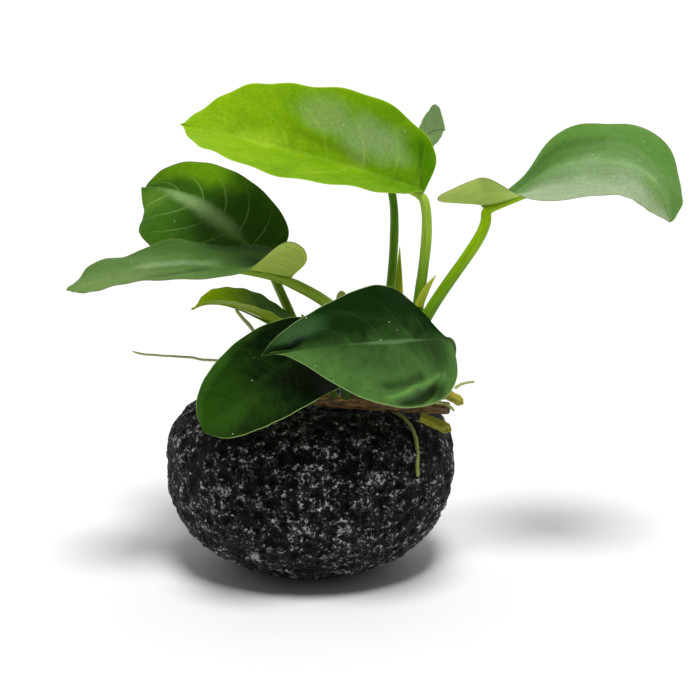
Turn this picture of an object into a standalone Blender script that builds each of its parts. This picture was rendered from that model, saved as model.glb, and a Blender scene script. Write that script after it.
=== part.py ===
"""An anubias plant growing on a rounded lava stone.

The plant is a short creeping rhizome on top of the stone, eight leaves that
each have a blade and a petiole, young shoots, cut leaf stubs and roots.
Lengths are written in millimetres and angles in degrees, and become metres
where a mesh or a curve is made. The origin is the middle of the stone's
resting face, +Z is up and -Y is the plant's front.
"""

import bpy
import numpy as np
from mathutils import Vector, noise

MM = 0.001
GAP = 0.35                      # clear space between two neighbouring pieces

# The stone: an oval pebble, rounder below than above.
STONE_HALF_LENGTH = 40.5        # along X
STONE_HALF_DEPTH = 33.0         # along Y
STONE_HEIGHT = 50.0
STONE_WAIST = 30.0              # height of its widest level
STONE_UNDERCUT = 1.5            # how much of the round underside the flat takes off
STONE_SQUARENESS = (3.5, 2.2)   # of the section above and below the waist
STONE_GRID = 12                 # squares along each side of the cube it is rounded from
STONE_LUMPS = 0.5

# The rhizome: a creeping stem that lies along the top of the stone.
RHIZOME_RADIUS = 1.75
RHIZOME = [(1, -11, 52.6), (12, -14, 52.6), (26, -12, 51.2), (38.5, -9, 49.4)]

# A leaf blade.
BLADE_THICKNESS = 0.6
BLADE_ROWS = 16                 # from the base to the tip
BLADE_COLUMNS = 4               # from the midrib to a margin
LOBE_SPAN = 0.55                # share of a margin that a basal lobe takes
MIDRIB_SPREAD = 1.35            # how far the side veins are swept towards the tip
PETIOLE_CLEARANCE = 1.5         # from the end of the petiole to its blade
FOOT_NARROWING = 0.5            # share of its radius that a petiole has where it leaves the rhizome

# Each leaf by place. midrib: four control points of its curve, from the base to
# the tip. face: the way its upper side looks, at the base and at the tip.
# Pairs give the half to the right of the midrib, then the half to its left.
# half_width, lobe (reach behind the base), belly (under 1 widest near the base),
# full (under 1 a broad base), taper (above 1 a drawn-out tip). fold: angle that
# the half is raised from flat at the base, over the body and at the tip, where
# the base value fades over reach, a share of the length, and the tip value comes
# in with the power drift. curl: further turn from the midrib to the margin. wave:
# height, count and start of the margin's waves.
LEAVES = {
    "top": dict(
        midrib=[(31.5, 0, 108), (14, -3, 115), (-14, 2, 122), (-34, 8, 125)],
        face=[(0, -0.47, 0.88), (0, -0.47, 0.88)],
        half_width=(21.5, 21), lobe=(3.5, -3), belly=(0.85, 0.98), full=(0.8, 1.15),
        taper=(1.2, 1.8), fold=((25, 25, 15), (25, 22, 15)), curl=(10, 0),
        wave=((0.8, 3, 0.1), (0.6, 3, 0.2)),
    ),
    "left_back": dict(
        midrib=[(-12, 8, 87.5), (-23, 14, 94.5), (-37.5, 24, 107), (-47.5, 26, 104.5)],
        face=[(0, -0.8, 0.6), (0, -0.8, 0.6)],
        half_width=(14.6, 19), lobe=(3, 0), belly=(0.86, 1.15), taper=(2.2, 0.5),
        wave=((0.3, 3, 0), (0.3, 3, 0)),
    ),
    "left_low": dict(
        midrib=[(-4.5, -6, 85.5), (-15.5, -8, 90.5), (-47, -14, 93), (-63, -16, 85)],
        face=[(0, -0.1, 1), (0, -0.1, 1)],
        half_width=(12.5, 13), lobe=(4, 4), taper=(1, 1),
        fold=((15, 15, 5), (90, 6, -8)), reach=0.16,
        wave=((1.1, 4, 0.17), (0.4, 3, 0.3)),
    ),
    "right": dict(
        midrib=[(47.5, -2, 104.5), (58, -3, 107), (90, -8, 127), (95.5, -12, 104)],
        face=[(0, -0.1, 1), (0.6, -0.3, 0.8)],
        half_width=(9.2, 20), lobe=(15, 2), belly=(1.02, 1.25), full=(0.7, 2.8),
        taper=(0.8, 0.55), fold=((88, -4, -40), (-12, 34, 16)), reach=0.17, drift=1.3, spike=2,
        wave=((0.2, 3, 0.3), (0.9, 4.5, 0.2)),
    ),
    "rear": dict(
        midrib=[(23, 14, 108), (27, 22, 116), (34, 38, 120), (39, 46, 118)],
        face=[(0.7, -0.6, 0.4), (0.7, -0.6, 0.4)],
        half_width=(4.5, 7.6), lobe=(1, 1), belly=(0.85, 3.4), full=(0.8, 1.6), taper=(1.5, 0.7),
        wave=((0.3, 3, 0), (0.3, 3, 0)),
    ),
    "small": dict(
        midrib=[(-5, -4, 70.5), (-12.5, -6, 73.5), (-22.5, -9.5, 82.5), (-30.5, -11, 78.5)],
        face=[(0, -0.1, 1), (0, -0.3, 1)],
        half_width=(9, 7), lobe=(2, 2), belly=(0.68, 0.7), taper=(2, 2),
        fold=((20, 20, 20), (30, 35, 40)),
        wave=((0.2, 3, 0), (0.2, 3, 0)),
    ),
    "front_left": dict(
        midrib=[(5.5, -16, 68.5), (-3, -22, 69.5), (-17, -33, 63), (-26, -36, 52.5)],
        face=[(-0.2, -0.75, 0.6), (-0.2, -0.75, 0.6)],
        half_width=(12.3, 15.5), lobe=(3, 4), taper=(0.9, 0.8),
        wave=((0.2, 3, 0), (0.2, 3, 0)),
    ),
    "front_right": dict(
        midrib=[(38, -14, 70.5), (22, -24, 73.5), (3.5, -34, 74.5), (-10.5, -34, 72)],
        face=[(0, -0.8, 0.6), (0, -0.8, 0.6)],
        half_width=(15.3, 21), lobe=(-5, 1), belly=(0.74, 0.77), full=(1.8, 1.5),
        taper=(1.1, 6),
        wave=((0.3, 3, 0), (0.3, 3, 0)),
    ),
}
EVERY_LEAF = dict(
    belly=(0.85, 0.85), full=(0.8, 0.8), fold=((10, 10, 10), (10, 10, 10)), curl=(0, 0),
    reach=0.3, drift=3, spike=1,
)

# Each petiole: its place along the rhizome, the way it leans there, the two
# middle control points of its curve, and its radius at the foot and at the top.
PETIOLES = {
    "left_back": (0.10, 45, [(-0.5, 2, 63), (-7, 6, 76.5)], (1.7, 1.2)),
    "small": (0.19, -40, [(3, -7, 64), (-1, -4, 68.5)], (0.9, 0.8)),
    "front_left": (0.27, -15, [(10.5, -11, 62), (8.5, -13, 67.5)], (1.4, 1.2)),
    "left_low": (0.42, 5, [(16, -6, 76), (4, -7, 79)], (1.7, 1.5)),
    "rear": (0.52, 60, [(21, 2, 72), (26, 9, 97.5)], (1.6, 1.1)),
    "right": (0.63, 5, [(27, -8, 80), (52.5, -4, 95.5)], (1.9, 1.4)),
    "top": (0.74, 60, [(28, -2, 76), (35, 0, 96)], (1.9, 1.3)),
    "front_right": (0.88, 20, [(37, -7, 58), (41, -9, 67)], (1.5, 1.3)),
}

# Scale leaves and shoots: foot, two control points, tip, radius at foot and tip.
SHOOTS = {
    "bud": ([(12.4, -10.2, 53.6), (11, -5, 60), (9.5, -2.5, 72), (9, -2, 81)], (1.2, 1.9)),
    "shoot_left": ([(6.2, -8.8, 55), (5.5, -2, 60), (1.5, 1, 67), (-2, 1.2, 73.5)], (0.9, 0.7)),
    "scale_leaf_rear": ([(24.8, 3.6, 72), (25.2, 5.2, 78), (25, 7.2, 85), (25.3, 9, 91)], (0.75, 0.45)),
    "scale_leaf_right": ([(30.2, -5.8, 77.5), (30.8, -5.6, 80), (32.6, -5.4, 83.4), (34.8, -5.2, 86.2)], (0.7, 0.45)),
    "stub_upper": ([(37.4, -5.4, 52.4), (39, -5, 52), (40.8, -4.4, 50.8), (42.8, -3.6, 48.9)], (1.4, 1.4)),
    "stub_lower": ([(30.5, -15.2, 48.9), (33, -15.4, 47.9), (36, -15.2, 46.6), (38.9, -14.8, 44.8)], (1.2, 1.7)),
}

# Roots that hang free: four control points, radius at the foot and at the tip.
FREE_ROOTS = {
    "root_left_long": ([(-1.6, -11, 54), (-10, -6, 66), (-30, -4, 60), (-48.7, -4, 64.4)], (0.45, 0.3)),
    "root_left_short": ([(-1.2, -8.5, 55), (-6, -3, 58), (-14, 0, 66), (-20.1, 0, 75.3)], (0.6, 0.5)),
    "root_right_fine": ([(40.6, -3.4, 53.4), (42, -3, 54.6), (44, -2.5, 54.6), (45.8, -2, 54.6)], (0.45, 0.35)),
    "root_right_dark": ([(35, -14.2, 52.6), (36.5, -15.4, 53), (38, -16.4, 52.4), (39.4, -17.4, 51.2)], (0.4, 0.35)),
}

# Roots that cling to the stone: control points of their course as bearings
# round the stone, from +X towards +Y, and heights, then radius at foot and tip.
CLINGING_ROOTS = {
    "root_front": ([(-19, 50.4), (-28, 48), (-38, 43), (-37.5, 34.5)], (0.6, 0.5)),
    "root_back_left": ([(125, 50.4), (118, 48.5), (112, 42), (114, 31)], (0.6, 0.45)),
    "root_back_right": ([(62, 50.4), (58, 48), (52, 41), (55, 35)], (0.55, 0.4)),
}


def clear_scene():
    for thing in list(bpy.data.objects):
        bpy.data.objects.remove(thing, do_unlink=True)


def plain_material(name, colour, roughness):
    material = bpy.data.materials.new(name)
    material.use_nodes = True
    shader = material.node_tree.nodes["Principled BSDF"]
    shader.inputs["Base Color"].default_value = (*colour, 1.0)
    shader.inputs["Roughness"].default_value = roughness
    shader.inputs["Metallic"].default_value = 0.0
    return material


def add_mesh(name, points, faces, material):
    """A smooth-shaded object from points in millimetres."""
    mesh = bpy.data.meshes.new(name)
    mesh.from_pydata((np.asarray(points, float) * MM).tolist(), [], faces)
    mesh.validate()
    mesh.shade_smooth()
    mesh.materials.append(material)
    thing = bpy.data.objects.new(name, mesh)
    bpy.context.scene.collection.objects.link(thing)
    return thing


def bezier(controls, u):
    """The cubic curve through the first and last control, at each u from 0 to 1."""
    p = np.asarray(controls, float)
    u = np.asarray(u, float)[..., None]
    return (1 - u) ** 3 * p[0] + 3 * u * (1 - u) ** 2 * p[1] + 3 * u * u * (1 - u) * p[2] + u**3 * p[3]


def unit(vectors):
    return vectors / np.linalg.norm(vectors, axis=-1, keepdims=True)


# ---------------------------------------------------------------- the stone


def stone_radius(direction):
    """Distance from the stone's centre to its surface, for an array of unit directions."""
    above = direction[..., 2] > 0
    power = np.where(above, *STONE_SQUARENESS)
    half_height = np.where(above, STONE_HEIGHT - STONE_WAIST, STONE_WAIST + STONE_UNDERCUT)
    across = (direction[..., 0] / STONE_HALF_LENGTH) ** 2 + (direction[..., 1] / STONE_HALF_DEPTH) ** 2
    upright = np.abs(direction[..., 2]) / half_height
    return (across ** (power / 2) + upright**power) ** (-1 / power)


def cube_sphere(count):
    """Unit directions and quads of a sphere made from a cube of count by count squares a side."""
    steps = np.tan(np.linspace(-1, 1, count + 1) * np.pi / 4)
    a, b = np.meshgrid(steps, steps, indexing="ij")
    one = np.ones_like(a)
    sides = [(one, a, b), (-one, b, a), (b, one, a), (a, -one, b), (a, b, one), (b, a, -one)]
    index = {}
    directions = []
    faces = []
    for side in sides:
        corners = np.stack(side, axis=-1)
        numbers = np.zeros(a.shape, int)
        for place in np.ndindex(a.shape):
            key = tuple(np.round(corners[place], 6))
            if key not in index:
                index[key] = len(directions)
                directions.append(corners[place])
            numbers[place] = index[key]
        for i in range(count):
            for j in range(count):
                faces.append((numbers[i, j], numbers[i + 1, j], numbers[i + 1, j + 1], numbers[i, j + 1]))
    return unit(np.array(directions)), [tuple(int(n) for n in face) for face in faces]


def build_stone(material):
    """The oval body, lumpy all round, with its underside worn flat at z = 0."""
    directions, faces = cube_sphere(STONE_GRID)
    points = directions * stone_radius(directions)[:, None]
    lumps = [noise.noise(Vector(point) / 14.0) for point in points]
    points = points * (1 - STONE_LUMPS * np.abs(lumps)[:, None] / 20)
    points[:, 2] = np.maximum(points[:, 2] + STONE_WAIST, 0)
    return add_mesh("stone", points, faces, material)


def on_stone(bearing, height, lift):
    """The point at that bearing and height whose distance from the surface is about lift."""
    tilt = np.linspace(-np.pi / 2, np.pi / 2, 721)
    turn = np.radians(bearing)
    ring = np.stack([np.cos(tilt) * np.cos(turn), np.cos(tilt) * np.sin(turn), np.sin(tilt)], axis=-1)
    outline = ring * (stone_radius(ring)[:, None] + lift)
    nearest = np.argmin(np.abs(outline[:, 2] + STONE_WAIST - min(height, STONE_HEIGHT - 0.2)))
    return outline[nearest] + (0, 0, STONE_WAIST)


# ----------------------------------------------------------- round pieces


def add_tube(name, points, radii, sides, material):
    """A round stalk along points, with its own radius at each and closed ends."""
    curve = bpy.data.curves.new(name, "CURVE")
    curve.dimensions = "3D"
    curve.bevel_depth = MM
    curve.bevel_resolution = (sides - 4) // 2
    curve.use_fill_caps = True
    spline = curve.splines.new("POLY")
    spline.points.add(len(points) - 1)
    for knot, point, radius in zip(spline.points, points, radii):
        knot.co = (*(np.asarray(point) * MM), 1.0)
        knot.radius = radius
    spline.use_smooth = True
    curve.materials.append(material)
    thing = bpy.data.objects.new(name, curve)
    bpy.context.scene.collection.objects.link(thing)
    return thing


def build_rhizome(material):
    """A stem ringed by the scars of old leaves: its radius swells between the rings."""
    u = np.linspace(0, 1, 22)
    radii = RHIZOME_RADIUS * (1 - 0.08 * np.cos(u * 2 * np.pi * 7))
    return add_tube("rhizome", bezier(RHIZOME, u), radii, 10, material)


def build_petiole(place, material):
    """A stalk from the upper side of the rhizome to just under its blade, drawn in at its foot."""
    along, lean, middle, (foot_radius, top_radius) = PETIOLES[place]
    axis = bezier(RHIZOME, along)
    lift = RHIZOME_RADIUS * 1.08 + GAP
    lean = np.radians(lean)
    foot = axis + lift * np.array([0, np.sin(lean), np.cos(lean)])
    top = np.asarray(LEAVES[place]["midrib"][0], float)
    last = unit(top - np.asarray(middle[1], float))
    controls = [foot, *middle, top - PETIOLE_CLEARANCE * last]
    u = np.linspace(0, 1, 13)
    radii = foot_radius + (top_radius - foot_radius) * u**0.6
    radii = radii * np.minimum(FOOT_NARROWING + 5 * u, 1)
    return add_tube("petiole_" + place, bezier(controls, u), radii, 8, material)


def build_shoot(name, material):
    controls, (foot_radius, tip_radius) = SHOOTS[name]
    u = np.linspace(0, 1, 8)
    radii = foot_radius + (tip_radius - foot_radius) * u
    return add_tube(name, bezier(controls, u), radii, 8, material)


def build_free_root(name, material):
    controls, (foot_radius, tip_radius) = FREE_ROOTS[name]
    u = np.linspace(0, 1, 11)
    return add_tube(name, bezier(controls, u), foot_radius + (tip_radius - foot_radius) * u, 6, material)


def build_clinging_root(name, material):
    course, (foot_radius, tip_radius) = CLINGING_ROOTS[name]
    u = np.linspace(0, 1, 13)
    radii = foot_radius + (tip_radius - foot_radius) * u
    points = [on_stone(b, h, r + GAP) for (b, h), r in zip(bezier(course, u), radii)]
    return add_tube(name, points, radii, 6, material)


# ------------------------------------------------------------- the blades


def trend(values, u, reach, drift):
    """A value that fades from its base level to its body level, then drifts to its tip level."""
    base, body, tip = values
    return body + (base - body) * np.exp(-((u / reach) ** 2)) + (tip - body) * u**drift


def blade_surface(leaf, t, v):
    """The middle surface of a blade, for t from base to tip and v from -1, left, to 1, right.

    The outline is a cosine run along the midrib, less a lobe behind the base, and
    a power of a sine across it. Each half is a strip that leaves the midrib at the
    fold angle and turns by the curl, so its section is an arc, and waves lift the
    margin.
    """
    leaf = {**EVERY_LEAF, **leaf}
    right = v >= 0

    def half(name):
        return np.where(right, *leaf[name])

    steps = np.linspace(0, 1, 200)
    line = bezier(leaf["midrib"], steps)
    run = np.concatenate([[0], np.cumsum(np.linalg.norm(np.diff(line, axis=0), axis=1))])
    length = run[-1]
    power = half("full") + (half("taper") - half("full")) * t**3
    outline = np.clip(np.sin(np.pi * t ** half("belly")), 0, None) ** power
    lobe_run = np.clip(t / LOBE_SPAN, 0, 1)
    lobe_reach = half("lobe") * 27 / 4 * lobe_run * (1 - lobe_run) ** 2
    spike = leaf["spike"] * t**30
    margin_x = length * (1 - np.cos(np.pi * t)) / 2 - lobe_reach + spike
    midrib_x = length * t**MIDRIB_SPREAD + spike
    out = np.abs(v)
    x = midrib_x + (margin_x - midrib_x) * out**1.5
    y = half("half_width") * outline * out

    u = np.clip(x / length, 0, 1)
    held = np.clip(x, 0, length)
    directions = unit(np.gradient(line, run, axis=0))
    centre = np.stack([np.interp(held, run, line[:, k]) for k in range(3)], axis=-1)
    ahead = unit(np.stack([np.interp(held, run, directions[:, k]) for k in range(3)], axis=-1))
    centre = centre + ahead * (x - held)[..., None]
    face = np.asarray(leaf["face"], float)
    up = face[0] + (face[1] - face[0]) * u[..., None]
    up = unit(up - ahead * (up * ahead).sum(-1, keepdims=True))
    across = np.cross(ahead, up) * np.where(right, 1, -1)[..., None]

    fold_right, fold_left = (trend(values, u, leaf["reach"], leaf["drift"]) for values in leaf["fold"])
    fold = np.radians(np.where(right, fold_right, fold_left))
    bend = np.maximum(np.radians(half("curl")) / half("half_width"), 1e-6)
    outward = (np.sin(fold + bend * y) - np.sin(fold)) / bend
    height = (np.cos(fold) - np.cos(fold + bend * y)) / bend
    (high_r, count_r, start_r), (high_l, count_l, start_l) = leaf["wave"]
    beat = np.where(right, count_r, count_l) * t + np.where(right, start_r, start_l)
    ripple = np.where(right, high_r, high_l) * out**2 * np.sin(2 * np.pi * beat)
    height = height + ripple * np.sqrt(np.clip(np.sin(np.pi * t), 0, 1))
    return centre + across * outward[..., None] + up * height[..., None]


def build_blade(place, material):
    """A sheet of rows from margin to margin, drawn together at the base and the tip, then thickened."""
    t = np.linspace(0, 1, BLADE_ROWS + 1)[1:-1]
    v = np.linspace(-1, 1, 2 * BLADE_COLUMNS + 1)
    rows, columns = np.meshgrid(t, v, indexing="ij")
    leaf = LEAVES[place]
    ends = blade_surface(leaf, np.array([0.0, 1.0]), np.array([0.0, 0.0]))
    points = np.concatenate([blade_surface(leaf, rows, columns).reshape(-1, 3), ends])
    wide = len(v)
    base = rows.size
    tip = base + 1
    last = base - wide
    faces = []
    for j in range(wide - 1):
        faces.append((base, j, j + 1))
        faces.append((tip, last + j + 1, last + j))
        for start in range(0, last, wide):
            faces.append((start + j, start + wide + j, start + wide + j + 1, start + j + 1))
    blade = add_mesh("blade_" + place, points, faces, material)
    solid = blade.modifiers.new("Thickness", "SOLIDIFY")
    solid.thickness = BLADE_THICKNESS * MM
    solid.offset = 0.0
    return blade


# --------------------------------------------------------------- assembly

clear_scene()

lava = plain_material("lava_stone", (0.022, 0.022, 0.024), 0.85)
bark = plain_material("rhizome_bark", (0.14, 0.055, 0.024), 0.7)
stalk = plain_material("petiole_green", (0.25, 0.40, 0.035), 0.4)
pale = plain_material("young_shoot", (0.55, 0.58, 0.12), 0.45)
root = plain_material("root_skin", (0.30, 0.31, 0.12), 0.6)
young = plain_material("young_leaf", (0.20, 0.42, 0.012), 0.3)
mature = plain_material("mature_leaf", (0.025, 0.10, 0.012), 0.25)

build_stone(lava)
build_rhizome(bark)
for leaf_place in LEAVES:
    build_blade(leaf_place, young if leaf_place in ("top", "small") else mature)
    build_petiole(leaf_place, stalk)
for shoot_name in SHOOTS:
    build_shoot(shoot_name, pale)
for root_name in FREE_ROOTS:
    build_free_root(root_name, root)
for root_name in CLINGING_ROOTS:
    build_clinging_root(root_name, root)
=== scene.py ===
"""An anubias on a rounded lava stone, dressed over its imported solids.

The file follows the plant from the stone upwards: the stone, the rhizome, the
leaf blades, their petioles, the shoots, the cut stubs and the roots, then the
floor and the light. Each section has its own sizes in millimetres, shapes and
skins. The origin is the middle of the stone's resting face, +Z is up and -Y is
the plant's front.
"""

import math

import bpy
import numpy as np
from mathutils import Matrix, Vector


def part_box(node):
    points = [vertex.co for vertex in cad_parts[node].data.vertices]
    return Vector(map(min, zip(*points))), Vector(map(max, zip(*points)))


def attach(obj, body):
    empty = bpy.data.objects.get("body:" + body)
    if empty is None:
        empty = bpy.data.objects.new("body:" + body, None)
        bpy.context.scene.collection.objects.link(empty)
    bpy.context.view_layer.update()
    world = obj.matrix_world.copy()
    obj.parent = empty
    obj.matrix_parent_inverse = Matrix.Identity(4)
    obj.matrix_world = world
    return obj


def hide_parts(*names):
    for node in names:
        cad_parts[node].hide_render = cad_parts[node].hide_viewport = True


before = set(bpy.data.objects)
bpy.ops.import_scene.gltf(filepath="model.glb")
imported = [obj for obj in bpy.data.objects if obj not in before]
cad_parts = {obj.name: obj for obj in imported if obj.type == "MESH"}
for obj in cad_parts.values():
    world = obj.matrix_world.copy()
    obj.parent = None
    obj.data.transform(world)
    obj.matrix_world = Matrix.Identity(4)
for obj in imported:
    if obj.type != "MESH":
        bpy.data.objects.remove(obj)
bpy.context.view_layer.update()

# ------------------------------------------------------------- the camera
# A long lens, square to the plant's front and tilted down a little, so that
# the upper sides of the low leaves show as well as the stone's face.

MM = 0.001
VIEW_TILT = math.radians(16)
VIEW_DISTANCE = 460
VIEW_CENTRE = np.array([11.4, 0, 63.5])

camera = bpy.data.objects.new("camera", bpy.data.cameras.new("camera"))
camera.data.lens = 85
camera.data.sensor_width = 36
camera.data.clip_start = 0.01
back = np.array([0, -math.cos(VIEW_TILT), math.sin(VIEW_TILT)])
camera.location = (VIEW_CENTRE + VIEW_DISTANCE * back) * MM
camera.rotation_euler = (math.pi / 2 - VIEW_TILT, 0, 0)
bpy.context.scene.collection.objects.link(camera)
bpy.context.scene.camera = camera

# -------------------------------------------------------------- the stone
# A tumbled pebble of black lava: basalt that froze full of gas bubbles. The
# rolling has cut the bubbles open to pits and worn the walls between them to
# rough edges, painted pale as a highlight, with the pits painted dark as shade.
# It only lies on the floor, on its worn underside.

STONE_WAIST = 30                # height of its widest level
STONE_UNDERCUT = 1.5
STONE_SQUARENESS = (3.5, 2.2)   # of the section above and below the waist
STONE_GRID = 125                # squares along each side of the cube it is rounded from
LUMP_SIZES = (15, 6)
WALL_SPACING = 3.1
GRIT_SIZE = 1.5
# Bubbles of three sizes: spacing, smallest and largest radius, depth.
BUBBLES = [(6.5, 0.7, 1.9, 0.8), (3.4, 0.5, 1.2, 0.55), (1.9, 0.3, 0.75, 0.3)]


def srgb(code):
    """A hex colour as linear red, green and blue with full alpha."""
    parts = np.array([int(code[i:i + 2], 16) for i in (1, 3, 5)]) / 255
    linear = np.where(parts <= 0.04045, parts / 12.92, ((parts + 0.055) / 1.055) ** 2.4)
    return (*(float(part) for part in linear), 1.0)


def feed(node, inputs):
    """Each input set or linked; a node stands for the first output its settings leave open."""
    for name, value in inputs.items():
        if isinstance(value, bpy.types.Node):
            value = next(output for output in value.outputs if output.enabled)
        if isinstance(value, bpy.types.NodeSocket):
            node.id_data.links.new(value, node.inputs[name])
        else:
            node.inputs[name].default_value = value


def add_node(tree, kind, inputs, stops=None, **settings):
    """A shader node with its settings, its inputs and a ramp's stops."""
    made = tree.nodes.new("ShaderNode" + kind)
    for name, value in settings.items():
        setattr(made, name, value)
    feed(made, inputs)
    if stops:
        elements = made.color_ramp.elements
        while len(elements) < len(stops):
            elements.new(0.5)
        for element, (at, colour) in zip(elements, stops):
            element.position = at
            element.color = colour
    return made


BLEND = {"data_type": "RGBA"}                           # a mix of two colours
SHADE = {"data_type": "RGBA", "blend_type": "MULTIPLY"}  # a colour times a number


def new_skin(name):
    """An empty material: its node tree and its Principled shader."""
    skin = bpy.data.materials.new(name)
    skin.use_nodes = True
    return skin, skin.node_tree, skin.node_tree.nodes["Principled BSDF"]


def scramble(cells, seed):
    """A repeatable random number from 0 to 1 for each whole-numbered cell."""
    n = cells.astype(np.int64).astype(np.uint32)
    mixed = n[..., 0] * np.uint32(73856093) ^ n[..., 1] * np.uint32(19349663)
    mixed = mixed ^ n[..., 2] * np.uint32(83492791) ^ np.uint32(seed * 668265263 % 2**32)
    mixed = (mixed ^ (mixed >> np.uint32(13))) * np.uint32(1274126177)
    mixed = (mixed ^ (mixed >> np.uint32(16))) * np.uint32(2246822519)
    return (mixed ^ (mixed >> np.uint32(15))) / 2**32


def drift_noise(points, seed):
    """Smooth noise from -1 to 1: random values at the corners of unit cells, and
    between them their mean, weighted by 3f^2 - 2f^3 along each axis."""
    cell = np.floor(points)
    f = points - cell
    f = f * f * (3 - 2 * f)
    total = np.zeros(points.shape[:-1])
    for corner in np.ndindex(2, 2, 2):
        weight = np.prod(np.where(corner, f, 1 - f), axis=-1)
        total = total + weight * scramble(cell + corner, seed)
    return 2 * total - 1


def nearest_bubble(points, seed):
    """Distance to the nearest random centre, of which each unit cell has one, and
    that centre's own random number."""
    cell = np.floor(points)
    best = np.full(points.shape[:-1], np.inf)
    mark = np.zeros(points.shape[:-1])
    for step in np.ndindex(3, 3, 3):
        other = cell + np.array(step) - 1
        centre = other + np.stack([scramble(other, seed + k) for k in range(3)], axis=-1)
        away = np.linalg.norm(points - centre, axis=-1)
        mark = np.where(away < best, scramble(other, seed + 3), mark)
        best = np.minimum(best, away)
    return best, mark


def unit(vectors):
    return vectors / np.maximum(np.linalg.norm(vectors, axis=-1, keepdims=True), 1e-12)


def together(*parts):
    """Arrays stretched to one shape, as the coordinates of points."""
    return np.stack(np.broadcast_arrays(*parts), axis=-1)


def all_round(sides):
    """Evenly spaced angles once round."""
    return np.linspace(0, 2 * np.pi, sides, endpoint=False)


def grid_quads(rows, columns, closed):
    """Quads between the points of a grid; closed joins the last column to the first."""
    i = np.arange(rows - 1)[:, None]
    j = np.arange(columns if closed else columns - 1)[None, :]
    k = (j + 1) % columns
    corners = [i * columns + j, i * columns + k, (i + 1) * columns + k, (i + 1) * columns + j]
    return together(*corners).reshape(-1, 4)


def add_piece(name, points, faces, skin, uv=None, marks=None):
    """A smooth-shaded mesh from points in millimetres, with a UV map and marks by point."""
    mesh = bpy.data.meshes.new(name)
    mesh.from_pydata((points * MM).tolist(), [], faces)
    mesh.shade_smooth()
    mesh.materials.append(skin)
    corners = np.zeros(len(mesh.loops), np.int32)
    mesh.loops.foreach_get("vertex_index", corners)
    if uv is not None:
        layer = mesh.uv_layers.new(name="growth")
        layer.uv.foreach_set("vector", uv[corners].astype(np.float32).ravel())
    for mark, values in (marks or {}).items():
        layer = mesh.attributes.new(mark, "FLOAT", "POINT")
        layer.data.foreach_set("value", np.asarray(values, np.float32).ravel())
    piece = bpy.data.objects.new(name, mesh)
    bpy.context.scene.collection.objects.link(piece)
    return piece


def stand_for(piece, node):
    """The piece takes the place of a CAD node, whose solid it hides, and rides with the plant."""
    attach(piece, "root")
    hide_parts(node)


def stone_skin(directions):
    """Points of the oval body: on each ray, the radius at which the across part to a
    power plus the upright part to the same power is 1, a superellipse."""
    low, high = (np.array(corner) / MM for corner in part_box("stone"))
    half = (high - low) / 2
    above = directions[..., 2] > 0
    power = np.where(above, *STONE_SQUARENESS)
    half_height = np.where(above, high[2] - STONE_WAIST, STONE_WAIST + STONE_UNDERCUT)
    across = (directions[..., 0] / half[0]) ** 2 + (directions[..., 1] / half[1]) ** 2
    upright = np.abs(directions[..., 2]) / half_height
    radius = (across ** (power / 2) + upright**power) ** (-1 / power)
    return directions * radius[..., None]


def cut_bubbles(points):
    """Depth of the pits: a bowl in each open bubble, 1 less its distance squared over
    its radius squared, for each size of bubble."""
    depth = np.zeros(points.shape[:-1])
    for seed, (spacing, smallest, largest, deep) in enumerate(BUBBLES):
        away, mark = nearest_bubble(points / spacing, 40 + 10 * seed)
        radius = smallest + (largest - smallest) * mark**2
        bowl = np.clip(1 - (away * spacing / radius) ** 2, 0, 1) ** 0.7
        depth = np.maximum(depth, deep * bowl)
    return depth


def build_stone(skin):
    """Six square grids of the cube, rounded to a ball, welded where they meet, then
    pushed out by lumps and worn walls and in by the bubbles."""
    steps = np.tan(np.linspace(-1, 1, STONE_GRID + 1) * np.pi / 4)
    a, b = np.meshgrid(steps, steps, indexing="ij")
    one = np.ones_like(a)
    sides = [(one, a, b), (-one, b, a), (b, one, a), (a, -one, b), (a, b, one), (b, a, -one)]
    corners = np.stack([np.stack(side, axis=-1) for side in sides]).reshape(-1, 3)
    keys = np.round(corners * 1e6).astype(np.int64)
    _, first, number = np.unique(keys, axis=0, return_index=True, return_inverse=True)
    quads = grid_quads(STONE_GRID + 1, STONE_GRID + 1, closed=False)
    quads = np.concatenate([quads + side * a.size for side in range(6)])[:, ::-1]
    directions = unit(corners[first])
    points = stone_skin(directions)
    large, small = LUMP_SIZES
    worn = 0.5 * drift_noise(points / large, 1) + 0.25 * drift_noise(points / small, 2)
    walls = 1 - np.abs(drift_noise(points / WALL_SPACING, 3)) * 2.4
    grit = drift_noise(points / GRIT_SIZE, 4)
    local = 0.4 * walls + 0.42 * grit - cut_bubbles(points)
    relief = worn - 0.15 + local
    points = points + directions * relief[:, None]
    points[:, 2] = np.maximum(points[:, 2] + STONE_WAIST, 0)
    # a mark of the local relief, low in the pits and high on the walls, by which the skin paints
    # highlight on the walls and shade in the pits
    height = np.clip(0.5 + 0.6 * local, 0, 1)
    return add_piece("stone", points, number.ravel()[quads].tolist(), skin, marks={"height": height})
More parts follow.
